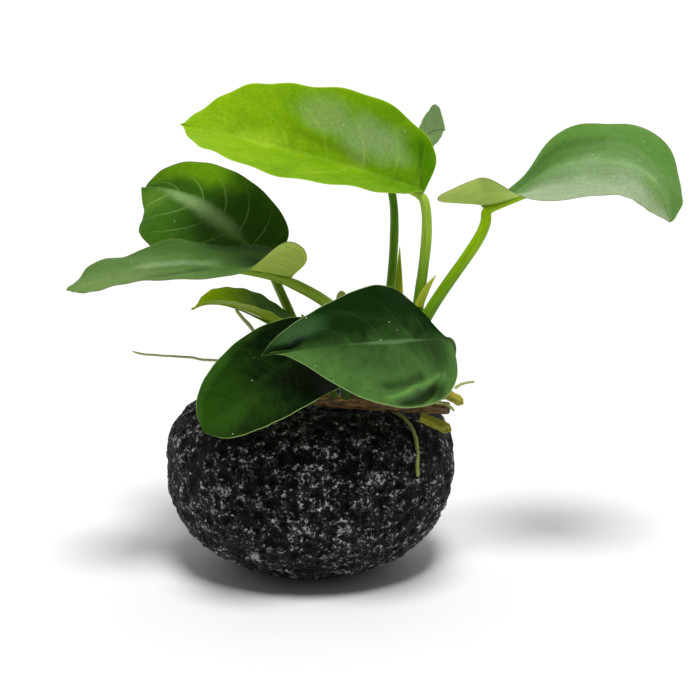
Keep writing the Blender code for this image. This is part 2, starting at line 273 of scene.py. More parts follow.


# Basalt lava, bubbled and tumbled: near-black glass and iron with paler mineral
# grains, dull where dry. Its colour is painted darker in the pits as shade and
# grey on the raised edges as a highlight, and its small glints are painted highlights.
def lava_skin():
    skin, tree, shader = new_skin("bubbled_basalt_lava")
    place = add_node(tree, "TexCoord", {}).outputs["Object"]
    height = add_node(tree, "Attribute", {}, attribute_name="height").outputs["Fac"]
    # grit: glints and grains 0.7 mm across, drawn coarser than the real 0.2 mm so that they show
    grit = add_node(tree, "TexNoise", {"Vector": place, "Scale": 1400, "Detail": 4, "Roughness": 0.75})
    # the relief mark lightens the raised walls as a painted highlight and darkens the pits as painted
    # shade
    raised = add_node(tree, "Math", {0: height, 1: 0.4, 2: grit}, operation="MULTIPLY_ADD")
    # broken crystal faces 0.7 mm across, each with a brightness of its own, cubed into painted glints:
    # small highlights painted into the colour
    faces = add_node(tree, "TexVoronoi", {"Vector": place, "Scale": 1400})
    face = add_node(tree, "SeparateColor", {0: faces.outputs["Color"]})
    painted_glint = add_node(tree, "Math", {0: face, 1: 3}, operation="POWER")
    # grain holds the grit, the painted glints and the relief's painted highlight and shade
    grain = add_node(tree, "Math", {0: painted_glint, 1: 0.2, 2: raised}, operation="MULTIPLY_ADD")
    # pale mineral in clots 5 mm across, gathered in some parts of the stone
    patch = add_node(tree, "TexNoise", {"Vector": place, "Scale": 210, "Detail": 3, "Roughness": 0.65})
    crowd = add_node(
        tree, "MapRange",
        {"Value": patch, "From Min": 0.58, "From Max": 0.72, "To Max": 0.2},
    )
    pale = add_node(tree, "Math", {0: grain, 1: crowd}, operation="ADD")
    shown = add_node(tree, "MapRange", {"Value": pale, "From Min": 0.69, "From Max": 1.09})
    body = add_node(
        tree, "ValToRGB", {"Fac": shown},
        stops=[
            (0.05, srgb("#000000")), (0.25, srgb("#070708")), (0.42, srgb("#2c2c2e")),
            (0.62, srgb("#6a6a6d")), (0.86, srgb("#d4d4d6")),
        ],
    )
    dull = add_node(
        tree, "MapRange",
        {"Value": grit, "From Min": 0.35, "From Max": 0.65, "To Min": 0.4, "To Max": 0.8},
    )
    rough = add_node(tree, "Bump", {"Height": grit, "Strength": 1.0, "Distance": 1.2 * MM})
    feed(shader, {
        "Base Color": body, "Roughness": dull, "Normal": rough, "IOR": 1.5,
        "Specular IOR Level": 0.08, "Sheen Weight": 0.05, "Sheen Roughness": 0.4,
    })
    return skin


stand_for(build_stone(lava_skin()), "stone")

# ------------------------------------------------------------ the rhizome
# The creeping stem, three and a half millimetres thick, that all leaves and
# roots grow from. Its brown skin is ringed by old leaf scars and wrinkled
# lengthways, and it lies on the stone, cut off square at the right.

RHIZOME_RADIUS = 1.75
RHIZOME = [(1, -11, 52.6), (12, -14, 52.6), (26, -12, 51.2), (38.5, -9, 49.4)]
RHIZOME_ROWS = 150
RHIZOME_SIDES = 48
RING_SCARS = 9


def bezier(controls, u):
    """The cubic curve through the first and last control, at each u from 0 to 1."""
    p = np.asarray(controls, float)
    u = np.asarray(u, float)[..., None]
    return (1 - u) ** 3 * p[0] + 3 * u * (1 - u) ** 2 * p[1] + 3 * u * u * (1 - u) * p[2] + u**3 * p[3]


def add_stalk(name, path, radii, skin):
    """A stalk along a path: at each point of the path a ring square to it, turned to
    keep its first point towards the back, with a radius for each point and each way
    round, and both ends closed at the middle."""
    rows, sides = radii.shape
    ahead = unit(np.gradient(path, axis=0))
    side = unit(np.cross(ahead, [0, 1, 0]))
    other = np.cross(ahead, side)
    turn = all_round(sides)
    ring = np.cos(turn)[None, :, None] * side[:, None] + np.sin(turn)[None, :, None] * other[:, None]
    points = (path[:, None] + ring * radii[..., None]).reshape(-1, 3)
    points = np.concatenate([points, path[:1], path[-1:]])
    quads = grid_quads(rows, sides, closed=True)
    around = np.arange(sides)
    after = (around + 1) % sides
    start = np.stack([np.full(sides, rows * sides), after, around], axis=-1)
    last = (rows - 1) * sides
    end = np.stack([np.full(sides, rows * sides + 1), last + around, last + after], axis=-1)
    run = np.concatenate([[0], np.cumsum(np.linalg.norm(np.diff(path, axis=0), axis=1))])
    uv = together(run[:, None], turn[None, :]).reshape(-1, 2)
    uv = np.concatenate([uv, [[0, 0], [run[-1], 0]]])
    faces = quads.tolist() + start.tolist() + end.tolist()
    return add_piece(name, points, faces, skin, uv=uv)


def build_rhizome(skin):
    """A stem whose radius swells between ring scars and is wrinkled lengthways."""
    u = np.linspace(0, 1, RHIZOME_ROWS)[:, None]
    turn = all_round(RHIZOME_SIDES)[None, :]
    path = bezier(RHIZOME, u[:, 0])
    scars = 0.09 * np.abs(np.sin(np.pi * (u * RING_SCARS + 0.12 * np.sin(turn)))) ** 0.5
    around = together(u * RING_SCARS, 2.2 * np.cos(turn), 2.2 * np.sin(turn))
    wrinkles = 0.10 * drift_noise(around * (0.6, 1.6, 1.6), 11) + 0.05 * drift_noise(around * 2.5, 12)
    radii = RHIZOME_RADIUS * (0.93 + scars + wrinkles)
    shut = np.minimum(1, 6 * u**0.5)
    return add_stalk("rhizome", path, radii * shut, skin)


# Old stem skin: corky, dry and brown like thin bark. One noise makes both its
# lengthways wrinkles and its colour, painted darker in the wrinkles as shade and
# orange to pale tan on the ridges as a highlight.
def bark_skin():
    skin, tree, shader = new_skin("corky_stem_skin")
    place = add_node(tree, "TexCoord", {}).outputs["Object"]
    # wrinkles 0.9 mm apart and 4 mm long
    long = add_node(tree, "Mapping", {"Vector": place, "Scale": (250, 1100, 1100)})
    fibre = add_node(tree, "TexNoise", {"Vector": long, "Scale": 1, "Detail": 4, "Roughness": 0.65})
    colour = add_node(
        tree, "ValToRGB", {"Fac": fibre},
        stops=[
            (0.3, srgb("#22180c")), (0.44, srgb("#4e3a1c")), (0.56, srgb("#85602f")),
            (0.7, srgb("#a88c54")),
        ],
    )
    ridge = add_node(tree, "Bump", {"Height": fibre, "Strength": 0.8, "Distance": 0.4 * MM})
    feed(shader, {"Base Color": colour, "Normal": ridge, "Roughness": 0.55})
    return skin


stand_for(build_rhizome(bark_skin()), "rhizome")

# -------------------------------------------------------- the leaf blades
# Thick, stiff, waxy blades half a millimetre through, each grown in one piece
# with a sunk midrib, side veins that sweep towards the tip, and a hard rim.
# They are still in the angles at which they unrolled, so no two lie alike.

BLADE_HALF_THICKNESS = 0.26
BLADE_ROWS = 150                # from the base to the tip
BLADE_COLUMNS = 112             # round the section, over the top and back beneath
LOBE_SPAN = 0.55                # share of a margin that a basal lobe takes
MIDRIB_SPREAD = 1.35            # how far the side veins are swept towards the tip
VEIN_SWEEP = 0.13               # further sweep of a vein's end, as a share of the blade
UNEVEN_SIZE = 15                # between the slow swells of a blade
MIDRIB_POINTS = 200

# midrib: four control points of its curve, from the base to the tip. face: the
# way its upper side looks, at the base and at the tip. Pairs give the half to the
# right of the midrib, then the half to its left. half_width, lobe (reach behind
# the base), belly (under 1 widest near the base), full (under 1 a broad base),
# taper (above 1 a drawn-out tip). fold: angle that the half is raised from flat
# at the base, over the body and at the tip, where the base value fades over
# reach, a share of the length, and the tip value comes in with the power drift.
# curl: further turn from the midrib to the margin. wave: height, count and start
# of the margin's waves. crinkle: height and count of small ones. veins: how many
# to a half. veining: how much they show. creases: folds and dents pressed into
# the blade, each from one place along and across to another, with its width and
# its height. grain: streaks of colour along the blade and across it; on right
# they run lengthways as streaks of painted sheen.
LEAVES = {
    "top": dict(
        midrib=[(31.5, 0, 108), (14, -3, 115), (-14, 2, 122), (-34, 8, 125)],
        face=[(0, -0.47, 0.88), (0, -0.47, 0.88)],
        half_width=(21.5, 21), lobe=(3.5, -3), belly=(0.85, 0.98), full=(0.8, 1.15),
        taper=(1.2, 1.8), fold=((25, 25, 15), (25, 22, 15)), curl=(10, 0),
        wave=((0.8, 3, 0.1), (0.6, 3, 0.2)), crinkle=(0.35, 6), veins=6, veining=0.3,
        creases=[((0.19, 0.8), (0.03, 0.1), 1.2, -0.35), ((0.62, 0.3), (0.36, 0.12), 1.6, -0.3)],
    ),
    "left_back": dict(
        midrib=[(-12, 8, 87.5), (-23, 14, 94.5), (-37.5, 24, 107), (-47.5, 26, 104.5)],
        face=[(0, -0.8, 0.6), (0, -0.8, 0.6)],
        half_width=(14.6, 19), lobe=(3, 0), belly=(0.86, 1.15), taper=(2.2, 0.5),
        wave=((0.3, 3, 0), (0.3, 3, 0)), veins=6, veining=0.6,
    ),
    "left_low": dict(
        midrib=[(-4.5, -6, 85.5), (-15.5, -8, 90.5), (-47, -14, 93), (-63, -16, 85)],
        face=[(0, -0.1, 1), (0, -0.1, 1)],
        half_width=(12.5, 13), lobe=(4, 4), taper=(1, 1),
        fold=((15, 15, 5), (90, 6, -8)), reach=0.16,
        wave=((1.1, 4, 0.17), (0.4, 3, 0.3)), veins=6, veining=0.15, grain=(4, 14),
        creases=[((0.62, -0.75), (0.5, -0.25), 1.5, -0.5)],
    ),
    "right": dict(
        midrib=[(47.5, -2, 104.5), (58, -3, 107), (90, -8, 127), (95.5, -12, 104)],
        face=[(0, -0.1, 1), (0.6, -0.3, 0.8)],
        half_width=(9.2, 20), lobe=(15, 2), belly=(1.02, 1.25), full=(0.7, 2.8),
        taper=(0.8, 0.55), fold=((88, -4, -40), (-12, 34, 16)), reach=0.17, drift=1.3, spike=2,
        wave=((0.2, 3, 0.3), (0.9, 4.5, 0.2)), crinkle=(0.12, 7), veins=6, veining=0.15, grain=(4, 11),
        creases=[((0.15, -0.3), (0.85, -0.2), 1.6, 0.3), ((0.2, -0.75), (0.6, -0.6), 1.8, -0.25)],
    ),
    "rear": dict(
        midrib=[(23, 14, 108), (27, 22, 116), (34, 38, 120), (39, 46, 118)],
        face=[(0.7, -0.6, 0.4), (0.7, -0.6, 0.4)],
        half_width=(4.5, 7.6), lobe=(1, 1), belly=(0.85, 3.4), full=(0.8, 1.6), taper=(1.5, 0.7),
        wave=((0.3, 3, 0), (0.3, 3, 0)), veins=5, veining=0.3,
    ),
    "small": dict(
        midrib=[(-5, -4, 70.5), (-12.5, -6, 73.5), (-22.5, -9.5, 82.5), (-30.5, -11, 78.5)],
        face=[(0, -0.1, 1), (0, -0.3, 1)],
        half_width=(9, 7), lobe=(2, 2), belly=(0.68, 0.7), taper=(2, 2),
        fold=((20, 20, 20), (30, 35, 40)),
        wave=((0.2, 3, 0), (0.2, 3, 0)), veins=4, veining=0.3,
    ),
    "front_left": dict(
        midrib=[(5.5, -16, 68.5), (-3, -22, 69.5), (-17, -33, 63), (-26, -36, 52.5)],
        face=[(-0.2, -0.75, 0.6), (-0.2, -0.75, 0.6)],
        half_width=(12.3, 15.5), lobe=(3, 4), taper=(0.9, 0.8),
        wave=((0.2, 3, 0), (0.2, 3, 0)), veins=6, veining=0.22,
    ),
    "front_right": dict(
        midrib=[(38, -14, 70.5), (22, -24, 73.5), (3.5, -34, 74.5), (-10.5, -34, 72)],
        face=[(0, -0.8, 0.6), (0, -0.8, 0.6)],
        half_width=(15.3, 21), lobe=(-5, 1), belly=(0.74, 0.77), full=(1.8, 1.5),
        taper=(1.1, 6),
        wave=((0.3, 3, 0), (0.3, 3, 0)), veins=6, veining=0.12,
        creases=[
            ((0.65, 0.8), (0.36, 0.05), 1.6, 0.4), ((0.49, -0.92), (0.4, -0.74), 0.8, 1.3),
            ((0.4, -0.74), (0.27, -0.66), 0.8, 1.0), ((0.44, -0.96), (0.3, -0.8), 1.8, -1.4),
            ((0.5, -0.72), (0.36, -0.58), 1.3, -0.7), ((0.36, -0.98), (0.24, -0.72), 0.8, 0.8),
            ((0.82, 0.5), (0.95, 0.2), 2.2, -1.0),
        ],
    ),
}
EVERY_LEAF = dict(
    belly=(0.85, 0.85), full=(0.8, 0.8), fold=((10, 10, 10), (10, 10, 10)), curl=(0, 0),
    reach=0.3, drift=3, spike=1, crinkle=(0.15, 7), creases=[], grain=(34, 4),
)


def trend(values, u, reach, drift):
    """A value that fades from its base level to its body level, then drifts to its tip level."""
    base, body, tip = values
    return body + (base - body) * np.exp(-((u / reach) ** 2)) + (tip - body) * u**drift


def midrib_run(leaf):
    """The midrib's points, its distance from the base at each, and its heading."""
    line = bezier(leaf["midrib"], np.linspace(0, 1, MIDRIB_POINTS))
    run = np.concatenate([[0], np.cumsum(np.linalg.norm(np.diff(line, axis=0), axis=1))])
    return line, run, unit(np.gradient(line, run, axis=0))


def blade_surface(leaf, t, v):
    """The middle surface of a blade, for t from base to tip and v from -1, left, to 1, right.

    The outline is a cosine run along the midrib, less a lobe behind the base, and
    a power of a sine across it. Each half is a strip that leaves the midrib at the
    fold angle and turns by the curl, so its section is an arc, and waves lift the
    margin.
    """
    right = v >= 0

    def half(name):
        return np.where(right, *leaf[name])

    line, run, headings = midrib_run(leaf)
    length = run[-1]
    power = half("full") + (half("taper") - half("full")) * t**3
    outline = np.clip(np.sin(np.pi * t ** half("belly")), 0, None) ** power
    lobe_run = np.clip(t / LOBE_SPAN, 0, 1)
    lobe_reach = half("lobe") * 27 / 4 * lobe_run * (1 - lobe_run) ** 2
    spike = leaf["spike"] * t**30
    margin_x = length * (1 - np.cos(np.pi * t)) / 2 - lobe_reach + spike
    midrib_x = length * t**MIDRIB_SPREAD + spike
    out = np.abs(v)
    x = midrib_x + (margin_x - midrib_x) * out**1.5
    y = half("half_width") * outline * out

    u = np.clip(x / length, 0, 1)
    held = np.clip(x, 0, length)
    centre = np.stack([np.interp(held, run, line[:, k]) for k in range(3)], axis=-1)
    ahead = unit(np.stack([np.interp(held, run, headings[:, k]) for k in range(3)], axis=-1))
    centre = centre + ahead * (x - held)[..., None]
    face = np.asarray(leaf["face"], float)
    up = face[0] + (face[1] - face[0]) * u[..., None]
    up = unit(up - ahead * (up * ahead).sum(-1, keepdims=True))
    across = np.cross(ahead, up) * np.where(right, 1, -1)[..., None]

    fold_right, fold_left = (trend(values, u, leaf["reach"], leaf["drift"]) for values in leaf["fold"])
    fold = np.radians(np.where(right, fold_right, fold_left))
    bend = np.maximum(np.radians(half("curl")) / half("half_width"), 1e-6)
    outward = (np.sin(fold + bend * y) - np.sin(fold)) / bend
    height = (np.cos(fold) - np.cos(fold + bend * y)) / bend
    (high_r, count_r, start_r), (high_l, count_l, start_l) = leaf["wave"]
    beat = np.where(right, count_r, count_l) * t + np.where(right, start_r, start_l)
    ripple = np.where(right, high_r, high_l) * out**2 * np.sin(2 * np.pi * beat)
    crinkle_height, crinkle_count = leaf["crinkle"]
    ripple = ripple + crinkle_height * out**6 * np.sin(2 * np.pi * crinkle_count * (t + 0.35 * t**2))
    height = height + ripple * np.sqrt(np.clip(np.sin(np.pi * t), 0, 1))
    return centre + across * outward[..., None] + up * height[..., None]


def blade_creases(leaf, t, v):
    """Rise of the folds and dents: a bell curve of the distance to each one's line."""
    scale = np.array([midrib_run(leaf)[1][-1], max(leaf["half_width"])])
    here = np.stack([t, v], axis=-1) * scale
    rises = np.zeros_like(t)
    flat_rim = np.clip((1 - np.abs(v)) * 12, 0.3, 1)
    for start, end, crease_width, rise in leaf["creases"]:
        begin, finish = np.array(start) * scale, np.array(end) * scale
        line = finish - begin
        share = np.clip(((here - begin) * line).sum(-1) / (line * line).sum(), 0, 1)
        gap = np.linalg.norm(here - begin - share[..., None] * line, axis=-1)
        rises = rises + rise * np.exp(-((gap / crease_width) ** 2)) * flat_rim
    return rises


def blade_relief(leaf, seed, t, v):
    """How far the surface stands off its middle: a groove along each side vein and the
    midrib, a bell curve across, a slow unevenness, and the creases."""
    length = midrib_run(leaf)[1][-1]
    width = max(leaf["half_width"])
    out = np.abs(v)
    beat = (t - VEIN_SWEEP * out**2) * (leaf["veins"] + 1) + 0.4 * (v > 0)
    away = np.abs(beat - np.round(beat)) * length / (leaf["veins"] + 1)
    fade = np.clip((1 - out) * 3, 0, 1) * np.clip(out * 6, 0, 1)
    groove = 0.2 * leaf["veining"] * np.exp(-((away / 0.7) ** 2)) * fade
    midrib = (0.08 + 0.14 * leaf["veining"]) * np.exp(-((out * width / 0.9) ** 2)) * (1 - t**2)
    own = np.full_like(t, seed * 3.7)
    spot = np.stack([t * length / UNEVEN_SIZE, v * width / UNEVEN_SIZE, own], axis=-1)
    uneven = 0.4 * drift_noise(spot, 21) + 0.1 * drift_noise(spot * 2.6, 22)
    uneven = uneven + 0.03 * drift_noise(spot * 8, 23)
    return uneven - groove - midrib + blade_creases(leaf, t, v)


def build_blade(place, seed, skin):
    """A closed shell: the section's angle goes over the top from the right margin to
    the left and back beneath, across by its cosine and up by its sine, so the rim is
    round, and every section ends in a point at the base and the tip."""
    leaf = {**EVERY_LEAF, **LEAVES[place]}
    turn = all_round(BLADE_COLUMNS)
    t, turn = np.meshgrid(np.linspace(0.004, 0.997, BLADE_ROWS), turn, indexing="ij")
    v = np.cos(turn)
    step = 0.004
    after, before = np.minimum(t + step, 1), np.maximum(t - step, 0)
    along = blade_surface(leaf, after, v) - blade_surface(leaf, before, v)
    wide = 0.03
    right, left = np.minimum(v + wide, 1), np.maximum(v - wide, -1)
    across = blade_surface(leaf, t, right) - blade_surface(leaf, t, left)
    normal = unit(np.cross(across, along))
    rise = np.sign(np.sin(turn)) * np.abs(np.sin(turn)) ** 0.5
    thickness = BLADE_HALF_THICKNESS * (0.75 + 0.5 * np.exp(-((v / 0.12) ** 2)))
    lift = blade_relief(leaf, seed, t, v) + thickness * rise
    points = (blade_surface(leaf, t, v) + normal * lift[..., None]).reshape(-1, 3)
    ends = blade_surface(leaf, np.array([0.0, 1.0]), np.array([0.0, 0.0]))
    points = np.concatenate([points, ends])
    quads = grid_quads(BLADE_ROWS, BLADE_COLUMNS, closed=True)[:, ::-1]
    around = np.arange(BLADE_COLUMNS)
    after = (around + 1) % BLADE_COLUMNS
    base = t.size
    last = base - BLADE_COLUMNS
    fans = np.concatenate([
        np.stack([np.full_like(around, base), around, after], axis=-1),
        np.stack([np.full_like(around, base + 1), last + after, last + around], axis=-1),
    ])
    uv = np.concatenate([np.stack([t.ravel(), v.ravel()], axis=-1), [[0, 0], [1, 0]]])
    under = np.concatenate([np.clip(0.5 - 2 * rise, 0, 1).ravel(), [0, 0]])
    # each crease's rise as a mark, for the skin's painted highlight on crests and painted shade in
    # dents
    folded = np.concatenate([np.clip(0.5 + 0.5 * blade_creases(leaf, t, v), 0, 1).ravel(), [0.5, 0.5]])
    return add_piece(
        "blade_" + place, points, quads.tolist() + fans.tolist(), skin, uv=uv,
        marks={"under": under, "folded": folded},
    )


# Living leaf under a wax coat. Light that enters comes out again yellower,
# through the thin young blades most, and the wax gives a soft broad shine.
# Each blade turns from its deep green to its lit green along and across
# (way: offset, along, across), with patches of another green (colour, place
# along and across, reach along and across, strength). Some of these colours are
# painted light and shade. The pale lit green of right, on its near half, and
# the lit lower half of front_right are painted reflections of the pale room. The
# pale grey-green patches of top, left_back, left_low and right are painted sheen,
# on top partly wax bloom as well. On front_right the narrow pale patch along the
# midrib is a painted highlight and the small dark patch on the lower half near
# its margin is painted shade in the dent. The near-black deep green of front_left,
# towards its base under front_right, is partly that blade's painted shadow.
# small's lit yellow and left_low's pale underside are made brighter to make up
# for the shade of the blades above them: painted light. The pale rims of
# front_left and front_right are painted rim light. thin is the share of light
# that goes through, sheen the roughness of the wax.
TONES = {
    "top": dict(
        deep="#4a7e00", lit="#88b20c", way=(0.15, 0.95, -0.05),
        vein="#a9cc46", rim="#8fb52a", below="#8fb52a",
        thin=0.5, sheen=0.5, patches=[
            ("#88a468", 0.36, 0.5, 0.17, 0.32, 0.85), ("#86a35c", 0.53, 0.66, 0.1, 0.28, 0.7),
            ("#a8cc2c", 0.78, 0.05, 0.14, 0.3, 0.6), ("#3f7800", 0.16, 0.75, 0.12, 0.3, 0.6),
        ],
    ),
    "left_back": dict(
        deep="#2a5006", lit="#44701a", way=(-0.3, 1.0, -0.2),
        vein="#86a35c", rim="#3c3a28", below="#5b7d30",
        thin=0.2, sheen=0.5, patches=[
            ("#639008", 0.68, 0.85, 0.2, 0.35, 0.95), ("#8fae70", 0.6, 0.02, 0.32, 0.2, 0.9),
            ("#5f8424", 0.92, -0.55, 0.1, 0.5, 0.6),
        ],
    ),
    "left_low": dict(
        deep="#335c1a", lit="#6c8c46", way=(-0.3, 1.3, -0.2),
        vein="#86a35c", rim="#5a5f3c", below="#bcd460",
        thin=0.3, sheen=0.45, patches=[
            ("#4f7c0a", 0.3, 0.6, 0.14, 0.25, 0.9), ("#4d7a07", 0.2, -0.4, 0.1, 0.4, 0.8),
            ("#8fa87a", 0.62, 0.1, 0.2, 0.2, 0.5), ("#3c5f24", 0.5, 0.75, 0.12, 0.3, 0.6),
        ],
    ),
    "right": dict(
        deep="#5e8b3c", lit="#9db18c", way=(0.5, 0.05, 0.8),
        vein="#9ab27c", rim="#6d6a50", below="#b4cc66",
        thin=0.3, sheen=0.45, patches=[
            ("#4f7a30", 0.36, -0.5, 0.3, 0.36, 0.9), ("#a2b490", 0.36, 0.3, 0.3, 0.26, 0.7),
            ("#6f9648", 0.93, 0.1, 0.12, 0.7, 0.8),
        ],
    ),
    "rear": dict(
        deep="#4f7034", lit="#7a9a5a", way=(0.1, 0.7, 0),
        vein="#7fa052", rim="#3d5228", below="#7f9a4c",
        thin=0.2, sheen=0.5, patches=[],
    ),
    "small": dict(
        deep="#3c6805", lit="#b4cc20", way=(-1.3, 3.1, 0),
        vein="#8aa53a", rim="#93a840", below="#87a01c",
        thin=0.35, sheen=0.45, patches=[],
    ),
    "front_left": dict(
        deep="#041502", lit="#2d540c", way=(-0.75, 1.6, 0.1),
        vein="#2f5a1c", rim="#86a35a", below="#4f7a2c",
        thin=0.1, sheen=0.42, patches=[
            ("#37601c", 0.7, 0.95, 0.3, 0.18, 0.5), ("#2a520c", 0.85, -0.5, 0.15, 0.4, 0.5),
        ],
    ),
    "front_right": dict(
        deep="#0d2a05", lit="#4c7334", way=(0.3, 0, -0.75),
        vein="#587a48", rim="#86a066", below="#4f7a2c",
        thin=0.1, sheen=0.38, patches=[
            ("#3f6236", 0.78, 0.8, 0.14, 0.3, 0.8), ("#071a02", 0.92, 0.45, 0.07, 0.4, 0.9),
            ("#0c2608", 0.3, -0.88, 0.07, 0.12, 0.7), ("#66865a", 0.42, -0.02, 0.27, 0.035, 0.6),
            ("#14300c", 0.5, 0.4, 0.25, 0.2, 0.5), ("#0e2a08", 0.2, -0.3, 0.1, 0.5, 0.6),
        ],
    ),
}


def wax_leaf_skin(place):
    tone = TONES[place]
    leaf = {**EVERY_LEAF, **LEAVES[place]}
    skin, tree, shader = new_skin("waxy_leaf_" + place)
    where = add_node(tree, "TexCoord", {}).outputs["Object"]
    growth = add_node(tree, "UVMap", {}, uv_map="growth")
    axes = add_node(tree, "SeparateXYZ", {0: growth})
    along, across = axes.outputs["X"], axes.outputs["Y"]
    under = add_node(tree, "Attribute", {}, attribute_name="under").outputs["Fac"]
    out = add_node(tree, "Math", {0: across}, operation="ABSOLUTE")
    # blotches of paler green about 9 mm apart, and a mottle of cells and fine
    # cross veins 0.8 mm across, coarser than the real one
    blotch = add_node(tree, "TexNoise", {"Vector": where, "Scale": 110, "Detail": 2, "Roughness": 0.5})
    strokes = add_node(tree, "Mapping", {"Vector": growth, "Scale": (*leaf["grain"], 1)})
    streak = add_node(tree, "TexNoise", {"Vector": strokes, "Scale": 1, "Detail": 3})
    cells = add_node(tree, "TexNoise", {"Vector": where, "Scale": 1250, "Detail": 2})
    # the turn from deep to lit green, which carries the painted reflections, shadow and light listed
    # with the tones
    offset, way_along, way_across = tone["way"]
    turning = add_node(
        tree, "VectorMath", {0: growth, 1: (way_along, way_across, 0)}, operation="DOT_PRODUCT",
    )
    ground = add_node(tree, "Math", {0: blotch, 1: 0.7, 2: offset - 0.6}, operation="MULTIPLY_ADD")
    loose = add_node(tree, "Math", {0: streak, 1: 0.5, 2: ground}, operation="MULTIPLY_ADD")
    share = add_node(tree, "Math", {0: turning, 1: loose}, operation="ADD", use_clamp=True)
    body = add_node(tree, "Mix", {0: share, 6: srgb(tone["deep"]), 7: srgb(tone["lit"])}, **BLEND)
    # patches of another green: the pale grey-green ones are painted sheen, and on front_right a painted
    # midrib highlight and painted shade in the dent
    for colour, at_along, at_across, reach_along, reach_across, strength in tone["patches"]:
        spot = add_node(
            tree, "Mapping",
            {
                "Vector": growth, "Location": (at_along, at_across, 0),
                "Scale": (reach_along, reach_across, 1),
            },
            vector_type="TEXTURE",
        )
        away = add_node(tree, "VectorMath", {0: spot}, operation="LENGTH")
        ragged = add_node(tree, "Math", {0: blotch, 1: -1.2, 2: away}, operation="MULTIPLY_ADD")
        cover = add_node(
            tree, "MapRange",
            {"Value": ragged, "From Min": 0.65, "From Max": -0.35, "To Max": strength},
            interpolation_type="SMOOTHSTEP",
        )
        body = add_node(tree, "Mix", {0: cover, 6: body, 7: srgb(colour)}, **BLEND)
    # side veins, 0.5 mm wide, lost towards the margin, and the midrib, 0.8 mm wide at
    # the base and a hair at the tip
    swept = add_node(tree, "Math", {0: out, 1: out}, operation="MULTIPLY")
    start = add_node(tree, "Math", {0: swept, 1: -VEIN_SWEEP, 2: along}, operation="MULTIPLY_ADD")
    other_half = add_node(tree, "Math", {0: across, 1: 0}, operation="GREATER_THAN")
    later = add_node(tree, "Math", {0: other_half, 1: 0.4}, operation="MULTIPLY")
    beat = add_node(tree, "Math", {0: start, 1: leaf["veins"] + 1, 2: later}, operation="MULTIPLY_ADD")
    whole = add_node(tree, "Math", {0: beat}, operation="ROUND")
    off = add_node(tree, "Math", {0: beat, 1: whole}, operation="SUBTRACT")
    part = add_node(tree, "Math", {0: off}, operation="ABSOLUTE")
    line = add_node(tree, "MapRange", {"Value": part, "From Min": 0.055, "From Max": 0.01})
    line_end = add_node(tree, "MapRange", {"Value": out, "From Min": 0.95, "From Max": 0.5})
    side_vein = add_node(tree, "Math", {0: line, 1: line_end}, operation="MULTIPLY")
    middle = add_node(tree, "MapRange", {"Value": out, "From Min": 0.05, "From Max": 0.012})
    fade = add_node(tree, "MapRange", {"Value": along, "From Min": 0.95, "From Max": 0.15})
    rib = add_node(tree, "Math", {0: middle, 1: fade}, operation="MULTIPLY")
    lines = add_node(tree, "Math", {0: side_vein, 1: rib}, operation="MAXIMUM")
    broken = add_node(tree, "Math", {0: lines, 1: blotch}, operation="MULTIPLY")
    strength = add_node(tree, "Math", {0: broken, 1: leaf["veining"] * 1.4}, operation="MULTIPLY")
    veined = add_node(tree, "Mix", {0: strength, 6: body, 7: srgb(tone["vein"])}, **BLEND)
    mottle = add_node(
        tree, "MapRange",
        {"Value": cells, "From Min": 0.3, "From Max": 0.7, "To Min": 0.88, "To Max": 1.1},
    )
    speckled = add_node(tree, "Mix", {0: 1.0, 6: veined, 7: mottle}, **SHADE)
    # the crease mark lightens the colour along each crease's crest as a painted
    # highlight and darkens it in each dent as painted shade
    folded = add_node(tree, "Attribute", {}, attribute_name="folded").outputs["Fac"]
    worn = add_node(tree, "MapRange", {"Value": folded, "To Min": 0.25, "To Max": 1.75})
    toned = add_node(tree, "Mix", {0: 1.0, 6: speckled, 7: worn}, **SHADE)
    ribs = add_node(
        tree, "MapRange",
        {"Value": streak, "From Min": 0.3, "From Max": 0.7, "To Min": 0.86, "To Max": 1.1},
    )
    reverse = add_node(tree, "Mix", {0: 1.0, 6: srgb(tone["below"]), 7: ribs}, **SHADE)
    sided = add_node(tree, "Mix", {0: under, 6: toned, 7: reverse}, **BLEND)
    # a thin line of the rim colour at the margin, which on front_left and front_right is pale: painted
    # rim light
    rim_line = add_node(tree, "MapRange", {"Value": out, "From Min": 0.983, "From Max": 0.995})
    rimmed = add_node(tree, "Mix", {0: rim_line, 6: sided, 7: srgb(tone["rim"])}, **BLEND)
    # specks of lime dust 0.4 mm across, one or two to each two square centimetres and
    # three times as many in the midrib, where they also make a painted dotted highlight
    dust = add_node(tree, "TexVoronoi", {"Vector": where, "Scale": 420})
    near = add_node(tree, "Math", {0: dust, 1: 0.08}, operation="LESS_THAN")
    chosen = add_node(tree, "SeparateColor", {0: dust.outputs["Color"]})
    caught = add_node(
        tree, "MapRange",
        {"Value": out, "From Min": 0.1, "From Max": 0.02, "To Min": 0.2, "To Max": 0.6},
    )
    few = add_node(tree, "Math", {0: chosen, 1: caught}, operation="LESS_THAN")
    speck = add_node(tree, "Math", {0: near, 1: few}, operation="MULTIPLY")
    soft_speck = add_node(tree, "Math", {0: speck, 1: 0.7}, operation="MULTIPLY")
    dust_and_midrib_highlight = add_node(tree, "Mix", {0: soft_speck, 6: rimmed, 7: srgb("#c8d2b4")}, **BLEND)
